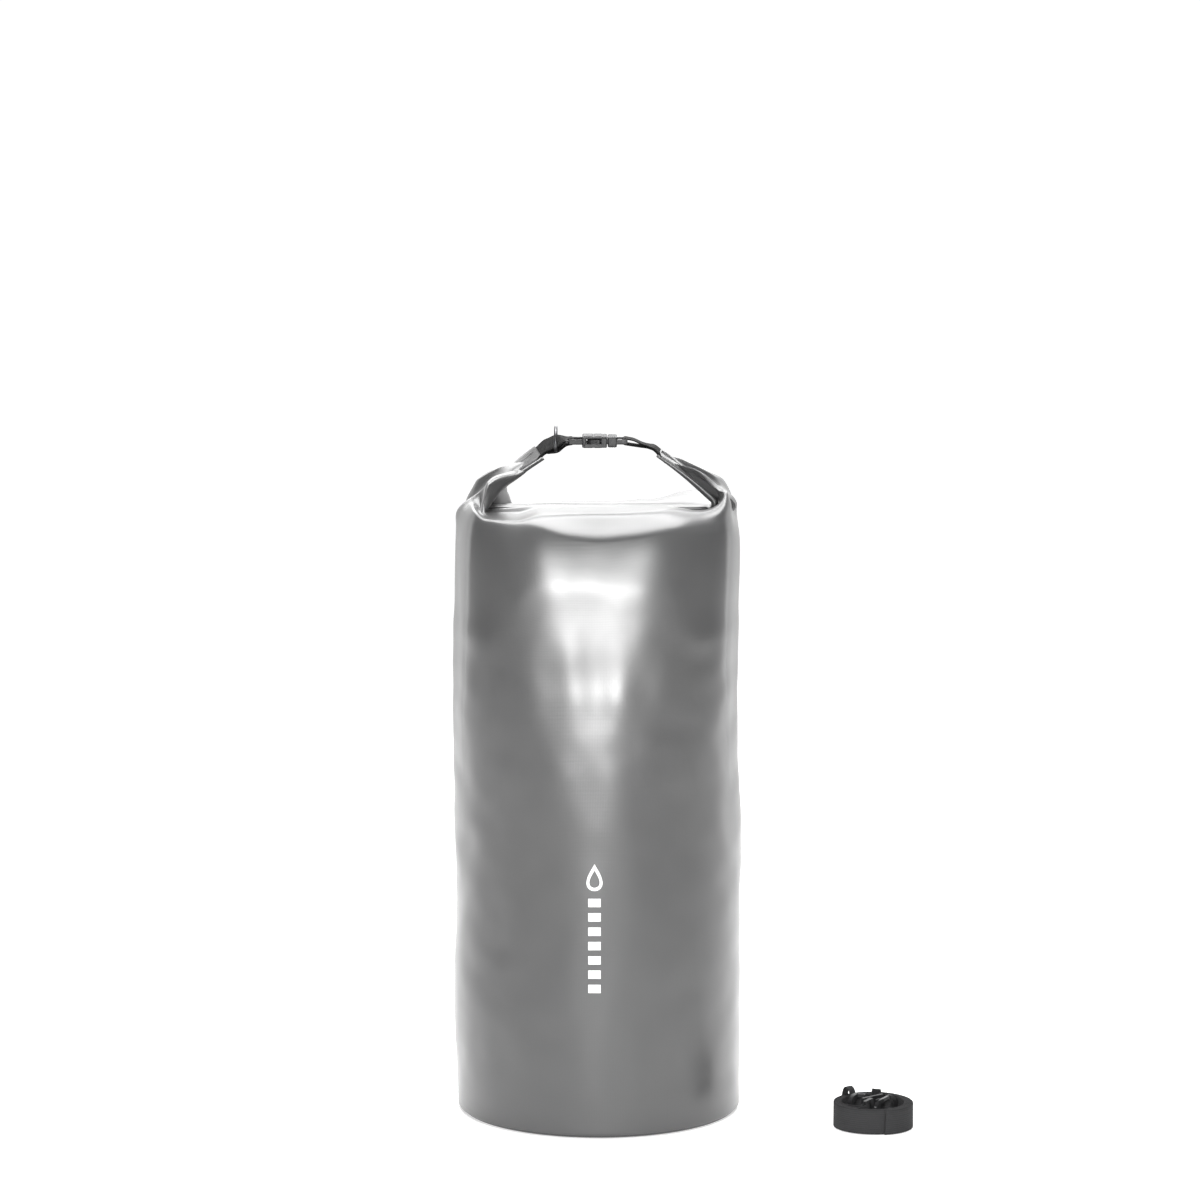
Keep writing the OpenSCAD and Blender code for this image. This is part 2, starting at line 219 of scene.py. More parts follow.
FABRIC = coated_fabric("grey_pvc", (0.055, 0.055, 0.055), (0.047, 0.047, 0.048), 0.39)
TAPE = coated_fabric("grey_pvc_tape", (0.050, 0.050, 0.050), (0.042, 0.042, 0.043), 0.40, 0.6)
BASE = coated_fabric("dark_pvc_base", (0.045, 0.045, 0.046), (0.036, 0.036, 0.037), 0.52, 1.6)
WEBBING = webbing("black_webbing", (0.012, 0.012, 0.012), (0.004, 0.004, 0.004))
# painted light: the strap is the black webbing made about four times lighter, standing in for the light on the
# coil's upturned faces
STRAP_PAINTED_LIGHT = webbing("strap_webbing", (0.046, 0.046, 0.047), (0.017, 0.017, 0.018))
THREAD = webbing("black_thread", (0.022, 0.022, 0.023), (0.010, 0.010, 0.010), 0.0006)
PLASTIC = moulded_plastic("black_acetal", (0.024, 0.024, 0.025), (0.011, 0.011, 0.012), 0.44)
GATE = moulded_plastic("charcoal_acetal", (0.060, 0.060, 0.062), (0.032, 0.032, 0.033), 0.36)
STRIP = moulded_plastic("white_strip", (0.72, 0.72, 0.70), (0.62, 0.62, 0.60), 0.45)
METAL = plated_wire("dark_nickel")
INK = print_ink("white_print")


# ---------- mesh tools ----------
def place(name, mesh, material, body=None, nodes=()):
    """Puts a mesh in the scene as a piece: its material, body and the CAD nodes it stands for."""
    made = bpy.data.objects.new(name, mesh)
    scene.collection.objects.link(made)
    mesh.materials.clear()
    mesh.materials.append(material)
    if nodes:
        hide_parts(*nodes)
    if body:
        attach(made, body)
    return made


def smooth(mesh):
    mesh.polygons.foreach_set("use_smooth", [True] * len(mesh.polygons))


def mesh_of(name, points, faces, uvs=None):
    """Smooth mesh; uvs has one (u, v) for each corner of each face, in order."""
    mesh = bpy.data.meshes.new(name)
    mesh.from_pydata([tuple(p) for p in points], [], [tuple(f) for f in faces])
    smooth(mesh)
    layer = mesh.uv_layers.new(name="weave")
    if uvs is not None:
        layer.data.foreach_set("uv", np.asarray(uvs, dtype=np.float32).ravel())
    mesh.update()
    return mesh


def resample(points, step):
    """Smooth curve through the points (Catmull-Rom), as points about step apart."""
    p = np.asarray(points, float)
    ends = np.vstack([2 * p[0] - p[1], p, 2 * p[-1] - p[-2]])
    fine = []
    for i in range(1, len(ends) - 2):
        a, b, c, d = ends[i - 1], ends[i], ends[i + 1], ends[i + 2]
        for t in np.linspace(0, 1, 24, endpoint=False):
            bend, sway = 2 * a - 5 * b + 4 * c - d, 3 * b - a - 3 * c + d
            fine.append(0.5 * (2 * b + (c - a) * t + bend * t * t + sway * t**3))
    fine.append(ends[-2])
    fine = np.array(fine)
    along = lengths(fine)
    count = max(int(round(along[-1] / step)), 2) + 1
    at = np.linspace(0, along[-1], count)
    return np.stack([np.interp(at, along, fine[:, k]) for k in range(p.shape[1])], axis=1)


def lengths(points):
    """Length along a line of points up to each of them."""
    return np.concatenate([[0], np.cumsum(np.linalg.norm(np.diff(points, axis=0), axis=1))])


def unit(v):
    v = np.asarray(v, float)
    return v / np.maximum(np.linalg.norm(v, axis=-1, keepdims=True), 1e-12)


def frames(path, wide, closed=False):
    """Unit widths and normals along a path."""
    if closed:
        tangent = unit(np.roll(path, -1, 0) - np.roll(path, 1, 0))
    else:
        tangent = unit(np.gradient(path, axis=0))
    wide = np.broadcast_to(np.asarray(wide, float), path.shape)
    wide = unit(wide - tangent * np.sum(wide * tangent, axis=1, keepdims=True))
    return wide, np.cross(tangent, wide)


def swept(name, path, wide, section, closed=False):
    """Sweeps a closed (w, n) section along a path."""
    path = np.asarray(path, float)
    w, n = frames(path, wide, closed)
    count, sides = len(path), len(section)
    points = (path[:, None] + w[:, None] * section[:, :1] + n[:, None] * section[:, 1:2]).reshape(-1, 3)
    along = lengths(path)
    faces, uvs = [], []
    rings = count if closed else count - 1
    for i in range(rings):
        j = (i + 1) % count
        u0 = along[i]
        u1 = along[i + 1] if i + 1 < count else along[i] + np.linalg.norm(path[0] - path[-1])
        for k in range(sides):
            m = (k + 1) % sides
            faces.append((i * sides + k, i * sides + m, j * sides + m, j * sides + k))
            uvs += [(u0, section[k, 0]), (u0, section[m, 0]), (u1, section[m, 0]), (u1, section[k, 0])]
    if not closed:
        for first, flip in ((0, True), ((count - 1) * sides, False)):
            loop = [first + k for k in range(sides)]
            loop = loop[::-1] if flip else loop
            faces.append(loop)
            uvs += [tuple(section[k % sides]) for k in loop]
    mesh = mesh_of(name, points, faces, uvs)
    fix_outside(mesh)
    return mesh


def fix_outside(mesh, weld=None):
    """Turns every face outward, after welding points closer than weld."""
    made = bmesh.new()
    made.from_mesh(mesh)
    if weld:
        bmesh.ops.remove_doubles(made, verts=made.verts[:], dist=weld)
    bmesh.ops.recalc_face_normals(made, faces=made.faces[:])
    made.to_mesh(mesh)
    made.free()


def band_section(width, thick, edge=3):
    """Flat webbing section with rounded edges, as (w, n) points."""
    r = thick / 2
    points = []
    for side in (1, -1):
        for a in np.linspace(-90, 90, edge + 2):
            t = math.radians(a)
            points.append((side * (width / 2 - r + r * math.cos(t)), side * r * math.sin(t)))
        for x in np.linspace(width / 2 - r, -width / 2 + r, 7)[1:-1]:
            points.append((side * x, side * r))
    return np.array(points)


def round_section(r, sides):
    a = np.linspace(0, math.tau, sides, endpoint=False)
    return np.stack([r * np.cos(a), r * np.sin(a)], axis=1)


def rounded(bm, edges, r, steps=2):
    bmesh.ops.bevel(bm, geom=edges, offset=r, segments=steps, profile=0.5, affect="EDGES", clamp_overlap=True)


def block(bm, low, high, r, steps=3):
    """Adds a box with rounded edges to a bmesh, in millimetres."""
    made = bmesh.ops.create_cube(bm, size=1.0)["verts"]
    for v in made:
        v.co = [(0.5 + v.co[i]) * (high[i] - low[i]) + low[i] for i in range(3)]
    rounded(bm, list({e for v in made for e in v.link_edges}), r, steps)


def rod(bm, start, end, r, sides=28, round_by=0.3):
    """Adds a cylinder between two points, with its rims rounded."""
    a, b = Vector(start), Vector(end)
    turn = (b - a).to_track_quat("Z", "Y").to_matrix().to_4x4()
    made = bmesh.ops.create_cone(
        bm, cap_ends=True, segments=sides, radius1=r, radius2=r, depth=(b - a).length,
        matrix=Matrix.Translation((a + b) / 2) @ turn,
    )["verts"]
    rims = {e for v in made for e in v.link_edges if any(len(f.verts) > 4 for f in e.link_faces)}
    rounded(bm, list(rims), round_by)


def prism(bm, outline, z0, z1, r):
    """Adds an extruded (x, y) outline with its edges rounded."""
    floor = bm.faces.new([bm.verts.new((x, y, z0)) for x, y in outline])
    raised = bmesh.ops.extrude_face_region(bm, geom=[floor])["geom"]
    raised = [v for v in raised if isinstance(v, bmesh.types.BMVert)]
    for v in raised:
        v.co.z = z1
    rounded(bm, list({e for v in [*floor.verts, *raised] for e in v.link_edges}), r)


def moulding(name, build, offset):
    """Mesh from a function that fills a bmesh in millimetres, moved to offset, with crisp rounded edges."""
    bm = bmesh.new()
    build(bm)
    bmesh.ops.recalc_face_normals(bm, faces=bm.faces[:])
    bm.transform(Matrix.Scale(MM, 4) @ Matrix.Translation(Vector(offset)))
    mesh = bpy.data.meshes.new(name)
    bm.to_mesh(mesh)
    bm.free()
    smooth(mesh)
    area = np.empty(len(mesh.polygons))
    mesh.polygons.foreach_get("area", area)
    normals = np.zeros((len(mesh.vertices), 3))
    for face, size in zip(mesh.polygons, area):
        for v in face.vertices:
            normals[v] += np.array(face.normal) * size
    mesh.normals_split_custom_set_from_vertices(unit(normals))
    return mesh


# ---------- the filled bag: a pinned and inflated cloth tube ----------
BAG_R, NECK_R = 0.1425, 0.1335
FOOT, TUBE_L, SIDE_EXTRA = 0.010, 0.716, 0.014
AROUND, ROWS = 96, 78
MOUTH_HALF, MOUTH_Z, MOUTH_TURN = 0.2240, 0.6115, math.radians(135.5)
CORNER_X, CORNER_R = 0.1165, 0.0085
KEY_FRAMES, LAST_FRAME = (1, 26, 36, 46, 56), 70


def mouth_point(s, turn):
    """Point of the flattened mouth at signed length s from its middle: level, then bent up at each side."""
    side = -1.0 if s < 0 else 1.0
    a = abs(s)
    if a <= CORNER_X:
        return side * a, MOUTH_Z + 0.003 * (a / CORNER_X) ** 2 - 0.003
    phi = min((a - CORNER_X) / CORNER_R, turn)
    rest = a - CORNER_X - CORNER_R * phi
    x = CORNER_X + CORNER_R * math.sin(phi) + rest * math.cos(turn)
    return side * x, MOUTH_Z + CORNER_R * (1 - math.cos(phi)) + rest * math.sin(turn)


def mouth_ring(turn):
    """The tube's top edge when it is flattened, with its ends bent up by turn."""
    ring = []
    for k in range(AROUND):
        a = math.tau * k / AROUND
        folded = a if a <= math.pi else math.tau - a
        x, z = mouth_point(2 * MOUTH_HALF * (0.5 - folded / math.pi), turn)
        ring.append((x, 0.0025 * math.sin(a) / max(abs(math.sin(a)), 0.25), z))
    return ring


def grid_faces(rows, around):
    """Faces of a tube of rows of points, around points in each."""
    faces = []
    for low in range(0, (rows - 1) * around, around):
        for k in range(around):
            n = (k + 1) % around
            faces.append((low + k, low + n, low + around + n, low + around + k))
    return faces


def applied(holder):
    """The object's mesh with its modifiers applied; the object itself goes."""
    mesh = bpy.data.meshes.new_from_object(holder.evaluated_get(bpy.context.evaluated_depsgraph_get()))
    bpy.data.objects.remove(holder)
    return mesh


def inflate():
    """Closes the tube's mouth by shape keys while the cloth is under pressure; returns the settled points."""
    points = []
    for r in range(ROWS):
        for k in range(AROUND):
            a = math.tau * k / AROUND
            z = FOOT + (TUBE_L + SIDE_EXTRA * math.cos(a) ** 4 - FOOT) * r / (ROWS - 1)
            t = min(max((z - 0.30) / 0.30, 0), 1)
            radius = BAG_R + (NECK_R - BAG_R) * t * t * (3 - 2 * t)
            points.append((radius * math.cos(a), radius * math.sin(a), z))
    mesh = bpy.data.meshes.new("bag_cloth")
    mesh.from_pydata(points, [], grid_faces(ROWS, AROUND))
    cloth = bpy.data.objects.new("bag_cloth", mesh)
    scene.collection.objects.link(cloth)
    top = (ROWS - 1) * AROUND
    cloth.vertex_groups.new(name="pin").add([*range(AROUND * 2), *range(top, top + AROUND)], 1.0, "REPLACE")
    cloth.shape_key_add(name="Basis")
    for i, share in enumerate((0.0, 0.33, 0.66, 1.0), 1):
        key = cloth.shape_key_add(name=f"mouth{i - 1}")
        for k, p in enumerate(mouth_ring(MOUTH_TURN * share)):
            key.data[top + k].co = p
        for t in KEY_FRAMES:
            key.value = 1.0 if t == KEY_FRAMES[i] else 0.0
            key.keyframe_insert("value", frame=t)
    for curve in cloth.data.shape_keys.animation_data.action.fcurves:
        for point in curve.keyframe_points:
            point.interpolation = "LINEAR"
    modifier = cloth.modifiers.new("cloth", "CLOTH")
    s = modifier.settings
    s.quality = 6
    s.mass = 0.02
    s.air_damping = 2.0
    s.tension_stiffness = s.compression_stiffness = 60
    s.shear_stiffness = 36
    s.bending_stiffness = 15
    s.tension_damping = s.compression_damping = s.shear_damping = 10
    s.bending_damping = 10
    s.vertex_group_mass = "pin"
    s.pin_stiffness = 1.0
    s.use_pressure = True
    s.uniform_pressure_force = 120
    s.effector_weights.gravity = 0.05
    modifier.collision_settings.use_collision = False
    modifier.point_cache.frame_start = 1
    modifier.point_cache.frame_end = LAST_FRAME
    scene.frame_start, scene.frame_end = 1, LAST_FRAME
    for f in range(1, LAST_FRAME + 1):
        scene.frame_set(f)
    settled = applied(cloth)
    scene.frame_set(1)
    return np.array([v.co for v in settled.vertices], float).reshape(ROWS, AROUND, 3)


def ease(x, low, high):
    """0 below low, 1 above high, smooth between."""
    t = np.clip((x - low) / (high - low), 0, 1)
    return t * t * (3 - 2 * t)


def neighbours(grid):
    """Each point's mean of its four neighbours; the first and last rows stay."""
    mean = grid.copy()
    beside = (np.roll(grid, 1, 1) + np.roll(grid, -1, 1))[1:-1]
    mean[1:-1] = 0.25 * beside + 0.25 * (grid[:-2] + grid[2:])
    return mean


def settle(grid):
    """Takes out the ripple of the cloth's own grid without shrinking its folds, then calms flanks and lip."""
    grid = grid.copy()
    for _ in range(12):
        for factor in (0.5, -0.52):
            mean = neighbours(grid)
            mean[:2] = grid[:2]
            grid += factor * (mean - grid)
    for _ in range(60):
        x, z = np.abs(grid[..., :1]), grid[..., 2:]
        flank = ease(x, 0.075, 0.110) * ease(z, 0.500, 0.535) * (1 - ease(z, 0.600, 0.616))
        flank = np.maximum(flank, 0.5 * ease(-grid[..., 1:2], 0.03, 0.06) * ease(z, 0.53, 0.56))
        grid += 0.5 * flank * (neighbours(grid) - grid)
    return grid


def flatter(x, n):
    """How much further out a squarer section of power n lies than a round one, at x."""
    u = np.clip(np.abs(x) / 0.1440, 0, 0.93)
    return (1 - u**n) ** (1 / n) / np.sqrt(1 - u**2)


# (x, z) of the bend under a roll end, and the directions along the end and out from it
END_AT, END_ALONG, END_OUT = (0.115, 0.620), (-0.7100, 0.7042), (0.7042, 0.7100)
# the visual bag's width over the simulated one's
WIDER = 1.012
# tables over x: how far the front is lifted, the height of its lip, and the top surface's height
LIFT = ((-0.125, -0.098, -0.078, -0.058, -0.036, 0.0, 0.044, 0.062, 0.082, 0.102, 0.130),
        (0.0, 0.007, 0.012, 0.0255, 0.0262, 0.026, 0.0225, 0.0195, 0.0120, -0.002, 0.0))
LIP = ((-0.136, -0.109, -0.056, -0.036, 0.0, 0.044, 0.104, 0.136),
       (0.626, 0.621, 0.610, 0.602, 0.597, 0.602, 0.614, 0.628))
CREST = ((-0.140, -0.128, -0.112, -0.078, -0.060, 0.020, 0.054, 0.092, 0.140),
         (0.640, 0.628, 0.6115, 0.6115, 0.6175, 0.6180, 0.6200, 0.6260, 0.6400))
# the outline's half width over z, at the left (-1) and the right (1)
SIDE_Z = (0.30, 0.54, 0.585, 0.612, 0.626, 0.634, 0.642, 0.650)
SIDE_X = {-1: (0.1440, 0.1435, 0.1430, 0.1425, 0.1395, 0.1364, 0.1285, 0.1200),
          1: (0.1425, 0.1425, 0.1430, 0.1420, 0.1390, 0.1350, 0.1275, 0.1190)}
# dents: angle, height, width in radians, height above and below, depth
DENTS = ((-0.95, 0.062, 0.30, 0.030, 0.0010), (-1.25, 0.110, 0.40, 0.050, 0.0008),
         (-2.1, 0.20, 0.45, 0.09, 0.0008))
# (radius, height) of the hem turned in at the foot, and the cloth's length up to each ring
HEM = ((0.1412, 0.012), (0.1411, 0.0042), (0.1417, 0.0032), (0.1424, 0.0040), (0.1425, 0.0065))
HEM_AT = (0.0, 0.001, 0.002, 0.003, 0.0055)


def gentle(x, at, value, blur=0.010):
    """Smooth curve through a table of values, looked up at x."""
    fine = np.linspace(-0.2, 0.2, 401)
    kernel = np.exp(-((fine[150:251] / blur) ** 2))
    table = np.pad(np.interp(fine, at, value), 50, mode="edge")
    return np.interp(x, fine, np.convolve(table, kernel / kernel.sum(), mode="valid"))


def dress(points):
    """Fits the settled cloth round the roll, step by step."""
    # flatter panels towards the top, lifted at the front
    x, y, z = points.T.copy()
    front, rear = ease(-y, 0.015, 0.095), ease(y, 0.015, 0.095)
    y *= 1 + (flatter(x, 2 + 1.1 * ease(z, 0.28, 0.57)) - 1) * ease(np.abs(y), 0.02, 0.06)
    middle = np.clip(1 - (x / 0.106) ** 4, 0, 1)
    z += ease(z, 0.45, 0.575) * (gentle(x, *LIFT) * front + 0.003 * rear * middle)
    # a full lip along the front's upper edge
    lip = gentle(x, *LIP)
    under, above = np.minimum(z - lip, 0), np.maximum(z - lip, 0)
    y -= 0.0052 * np.exp(under / 0.025 - (above / 0.012) ** 2) * front * middle
    # the top surface held down beside the roll
    crest = gentle(x, *CREST, 0.005) - 0.004 * (y > 0)
    over = np.maximum(z - crest, 0)
    kept = (1 - ease(over, 0.020, 0.036)) * np.where(y > 0, 1 - ease(np.abs(x), 0.104, 0.116), 1)
    z += ease(np.abs(y), 0.016, 0.034) * kept * (0.005 * np.tanh(over / 0.005) - over)
    # full shoulders, out to the outline
    levels = np.linspace(0.30, 0.650, 46)
    for side in (-1, 1):
        widest = np.array([np.max(np.where(np.abs(z - level) < 0.006, x * side, 0)) for level in levels])
        short = np.interp(levels, SIDE_Z, SIDE_X[side]) - widest
        short = np.convolve(np.pad(short, 2, mode="edge"), np.ones(5) / 5, mode="valid")
        short *= ease(levels, 0.30, 0.36)
        grow = np.interp(z, [*levels, 0.668], [*short, 0.0])
        reach = np.interp(z, levels, widest)
        x += side * grow * ease(x * side / reach, 0.55, 0.98)
    # a slight lean to the left at mid height, a fuller foot there, and the whole a little wider
    x -= 0.0032 * np.exp(-(((z - 0.43) / 0.13) ** 2))
    x -= 0.0042 * np.exp(-(((z - 0.115) / 0.080) ** 2)) * ease(-x, 0.02, 0.14)
    x *= 1 + (WIDER - 1) * (1 - ease(z, 0.60, 0.64))
    # the folds pulled taut onto the roll's ends, which the left one also meets from below
    for side in (-1, 1):
        over_x, over_z = x * side - END_AT[0], z - END_AT[1]
        along = over_x * END_ALONG[0] + over_z * END_ALONG[1]
        out = over_x * END_OUT[0] + over_z * END_OUT[1]
        limit = 0.0245 - 0.224 * along
        taut = np.where(out > limit, limit + 0.0012 * np.tanh((out - limit) / 0.0012), out)
        taut -= 0.0040 * ease(along, 0.020, 0.075)
        along -= 0.005 * ease(along, 0.065, 0.0865)
        near = ease(x * side, 0.074, 0.084) * ease(z, 0.6225, 0.6290) * ease(np.abs(y), 0.010, 0.016)
        near *= side < 0
        low = -0.0070
        taut = np.where(taut < low, taut + near * (low - taut), taut)
        share = np.maximum(ease(z, 0.632, 0.644), near * (out < low)) * (x * side > 0)
        x += share * (side * (END_AT[0] + along * END_ALONG[0] + taut * END_OUT[0]) - x)
        z += share * (END_AT[1] + along * END_ALONG[1] + taut * END_OUT[1] - z)
    return np.stack([x, y, z], axis=1)


def bag_mesh():
    """The settled cloth with its dents and hem, as a fine mesh whose UVs are metres of cloth."""
    grid = settle(inflate())
    z = grid[..., 2]
    around = np.arctan2(grid[..., 1], grid[..., 0])
    for angle, height, wide, tall, deep in DENTS:
        fall = np.exp(-(((around - angle) / wide) ** 2) - ((z - height) / tall) ** 2)
        grid[..., :2] *= (1 - deep / BAG_R * fall)[..., None]
    grid[..., 0] -= 0.002 * np.clip((z - 0.25) / 0.35, 0, 1) ** 2 * (z < 0.62)
    turns = [math.tau * k / AROUND for k in range(AROUND)]
    hem = [[(radius * math.cos(a), radius * math.sin(a), height) for a in turns] for radius, height in HEM]
    grid = np.concatenate([np.array(hem), grid])
    faces = grid_faces(len(grid), AROUND)
    heights = [*HEM_AT, *(FOOT + (TUBE_L - FOOT) * r / (ROWS - 1) for r in range(ROWS))]
    uvs = []
    for low, high in zip(heights, heights[1:]):
        for k in range(AROUND):
            u0, u1 = BAG_R * math.tau * k / AROUND, BAG_R * math.tau * (k + 1) / AROUND
            uvs += [(u0, low), (u1, low), (u1, high), (u0, high)]
    mesh = mesh_of("bag_skin", grid.reshape(-1, 3), faces, uvs)
    holder = bpy.data.objects.new("bag_skin", mesh)
    scene.collection.objects.link(holder)
    holder.modifiers.new("fine", "SUBSURF").levels = 2
    return applied(holder)


SPLIT_Z, FOLLOW_Z = 0.625, 0.650
skin = bag_mesh()
skin_points = dress(np.array([v.co for v in skin.vertices], float))
skin.vertices.foreach_set("co", skin_points.ravel())
skin.update()
skin_normals = np.array([n.vector for n in skin.vertex_normals], float)
skin_faces = np.array([p.vertices[:] for p in skin.polygons])
skin_uv = np.empty(len(skin.loops) * 2)
skin.uv_layers[0].data.foreach_get("uv", skin_uv)
skin_uv = skin_uv.reshape(-1, 4, 2)
skin_tree = BVHTree.FromPolygons([tuple(p) for p in skin_points], [tuple(f) for f in skin_faces])


def cut_piece(name, keep):
    """The faces of the skin that keep marks, with the whole skin's normals, so that no joint shows."""
    faces = skin_faces[keep]
    used, inverse = np.unique(faces, return_inverse=True)
    mesh = mesh_of(name, skin_points[used], inverse.reshape(-1, 4), skin_uv[keep].reshape(-1, 2))
    mesh.normals_split_custom_set_from_vertices(skin_normals[used])
    return mesh


face_top = skin_points[skin_faces][..., 2].max(axis=1)
face_x = skin_points[skin_faces][..., 0].mean(axis=1)
place("bag_body", cut_piece("bag_body", face_top <= SPLIT_Z), FABRIC, "bag", ["bag_tube"])
for side, word in ((-1, "left"), (1, "right")):
    high = (face_top > SPLIT_Z) & (face_x * side > 0)
    fold = cut_piece(f"{word}_shoulder_fold", high)
    horn = place(f"{word}_shoulder_fold", fold, FABRIC, None, [f"{word}_gusset"])
    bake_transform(horn)


def on_skin(angle, z, off=0.0):
    """Point off metres outside the bag's skin at an angle about its axis and a height."""
    out = Vector((math.cos(angle), math.sin(angle), 0))
    hit, normal, _, _ = skin_tree.ray_cast(out * 0.3 + Vector((0, 0, z)), -out)
    normal = normal if normal.dot(out) > 0 else -normal
    return hit + normal * off


# ---------- base ----------
def turned(name, profile, steps=96):
    """Surface of revolution about +Z from (radius, height) points; a first or last radius of 0 closes it."""
    turns = [math.tau * k / steps for k in range(steps)]
    points = [(r * math.cos(a), r * math.sin(a), h) for r, h in profile for a in turns]
    faces = grid_faces(len(profile), steps)
    mesh = mesh_of(name, points, faces, [points[q][:2] for face in faces for q in face])
    fix_outside(mesh, weld=1e-6)
    smooth(mesh)
    return mesh


base_mesh = turned("base_disc", [
    (0.0, 0.0009), (0.06, 0.0006), (0.110, 0.0002), (0.1345, 0.0), (0.1385, 0.0004), (0.1402, 0.0018),
    (0.1406, 0.004), (0.1406, 0.0145), (0.1400, 0.0152), (0.1394, 0.0145), (0.1394, 0.0045),
    (0.1380, 0.0024), (0.130, 0.0014), (0.06, 0.0018), (0.0, 0.0020),
])
base_mesh.transform(Matrix.Scale(WIDER, 4, (1, 0, 0)))
place("base_disc", base_mesh, BASE, "bag", ["base_panel"])

# ---------- the rolled mouth ----------
ROLL_W, ROLL_T, ROLL_Z = 0.028, 0.011, 0.6155
ROLL_CUT, ROLL_TIP = 0.095, (0.0604, 0.6741)
BEND_C, BEND_R, BEND_TURN = (0.1091, 0.6232), 0.0084, math.radians(138.9)
LEAVES, LEAF_PITCH, LEAF = 2.75, 0.0016, 0.0013


def roll_path():
    """Centre line of the right half of the roll, as (x, z, turn) from the middle out to its tip."""
    points = [(x, ROLL_Z, 0.0) for x in np.linspace(0, BEND_C[0] - 0.002, 26)]
    for phi in np.linspace(0, BEND_TURN, 14):
        points.append((BEND_C[0] + BEND_R * math.sin(phi), BEND_C[1] - BEND_R * math.cos(phi), phi))
    x0, z0, _ = points[-1]
    for t in np.linspace(0, 1, 22)[1:]:
        bow = 0.0016 * math.sin(math.pi * t)
        x, z = x0 + (ROLL_TIP[0] - x0) * t, z0 + (ROLL_TIP[1] - z0) * t
        points.append((x + bow * math.sin(BEND_TURN), z - bow * math.cos(BEND_TURN), BEND_TURN))
    return np.array(points)


def roll_section(thin, steps=112):
    """Outline of the rolled-up strip: out along the spiral's outer face and back along its inner face."""
    outer, inner = [], []
    for i in range(steps + 1):
        t = LEAVES * i / steps
        a = math.tau * t - math.radians(150)
        half_w = ROLL_W / 2 - LEAF / 2 - LEAF_PITCH * t
        half_t = ROLL_T / 2 - LEAF / 2 - LEAF_PITCH * t
        for track, grow in ((outer, LEAF / 2), (inner, -LEAF / 2)):
            flat = max(-1.0, min(1.0, 2.2 * math.cos(a)))
            w = (half_w - half_t) * flat + (half_t + grow) * math.cos(a)
            track.append((w, (half_t + grow) * math.sin(a) * thin))
    return np.array(outer + inner[::-1])


def roll_piece(name, side, twist):
    """One part of the roll as a mesh: side -1 or 1 with the end's twist, or 0 for the level middle."""
    half = roll_path()
    if side == 0:
        keep = half[half[:, 0] <= ROLL_CUT + 0.0005]
        keep = keep[keep[:, 2] == 0]
        line = np.vstack([keep[::-1] * (-1, 1, 1), keep[1:]])
        line[0, 0], line[-1, 0] = -ROLL_CUT, ROLL_CUT
        mirror = np.ones(len(line))
    else:
        start = int(np.argmax(half[:, 0] > ROLL_CUT + 0.0005))
        line = np.vstack([[(ROLL_CUT, ROLL_Z, 0.0)], half[start:]])
        mirror = np.full(len(line), side)
    along = lengths(line[:, :2])
    total = along[-1]
    sections, points, wide, normal = [], [], [], []
    for (x, z, phi), s in zip(line, along):
        bent = min(phi / BEND_TURN, 1.0)
        tip = max(s - 0.05, 0) / max(total - 0.05, 0.01) if side else 0
        pinch = 0.16 * math.sin(math.pi * bent) + 0.10 * bent + (0.40 if side > 0 else 0.12) * tip
        sections.append(roll_section(1 - pinch))
        points.append((x, 0.0, z))
        psi = math.radians(twist) * (0.35 * bent + 0.65 * max(s - 0.04, 0) / (total - 0.04)) if side else 0
        out = np.array((math.sin(phi), 0, -math.cos(phi)))
        front = np.array((0, -1.0, 0))
        wide.append(math.cos(psi) * front - math.sin(psi) * out)
        normal.append(math.cos(psi) * out + math.sin(psi) * front)
    sections, points, wide, normal = (np.array(v) for v in (sections, points, wide, normal))
    body = points[:, None] + wide[:, None] * sections[..., :1] + normal[:, None] * sections[..., 1:2]
    body[..., 0] *= mirror[:, None]
    count, sides = sections.shape[:2]
    round_it = lengths(sections[0])
    faces, uvs = grid_faces(count, sides), []
    for u0, u1 in zip(along, along[1:]):
        for k in range(sides):
            a, b = round_it[k], round_it[min(k + 1, sides - 1)]
            uvs += [(u0, a), (u0, b), (u1, b), (u1, a)]
    for i in (0, count - 1):
        for k in range(sides // 2 - 1):
            loop = (i * sides + k, i * sides + k + 1, i * sides + sides - 2 - k, i * sides + sides - 1 - k)
            faces.append(loop)
            uvs += [tuple(sections[i, q % sides]) for q in loop]
    mesh = mesh_of(name, body.reshape(-1, 3), faces, uvs)
    fix_outside(mesh)
    mesh.set_sharp_from_angle(angle=math.radians(50))
    return mesh


place("roll_middle", roll_piece("roll_middle", 0, 0), FABRIC, "bag", ["mouth_roll"])
for side, word, twist in ((-1, "left", 30), (1, "right", 12)):
    mesh = roll_piece(f"roll_{word}", side, twist)
    end = place(f"roll_{word}", mesh, FABRIC, None, [f"{word}_roll_end"])
    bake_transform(end)

# ---------- webbing between the roll ends and the buckle ----------
WEB_W, WEB_T = 0.025, 0.0014
BUCKLE_Z, BUCKLE_BAR = 0.686, 0.002
TOP_BAR, TOP_WIRE = (-0.0436, 0.6828), 0.00175
SLACK = 0.0002
HALF_TURN = np.radians(np.linspace(0, 180, 9))
LEFT_TILT, RIGHT_TILT = 26, 12


def loop_path(bar_x, inside, lower, upper):
    """Webbing run in the XZ plane: in along lower, round the buckle's bar, and back along upper."""
    r = BUCKLE_BAR + SLACK + WEB_T / 2
    towards = 1 if bar_x < 0 else -1
    turn = [(bar_x + towards * r * math.sin(a), BUCKLE_Z - r * math.cos(a)) for a in HALF_TURN]
    line = [inside[0], *lower, *turn, *upper, inside[1]]
    return resample([(x, 0.0, z) for x, z in line], 0.0012)


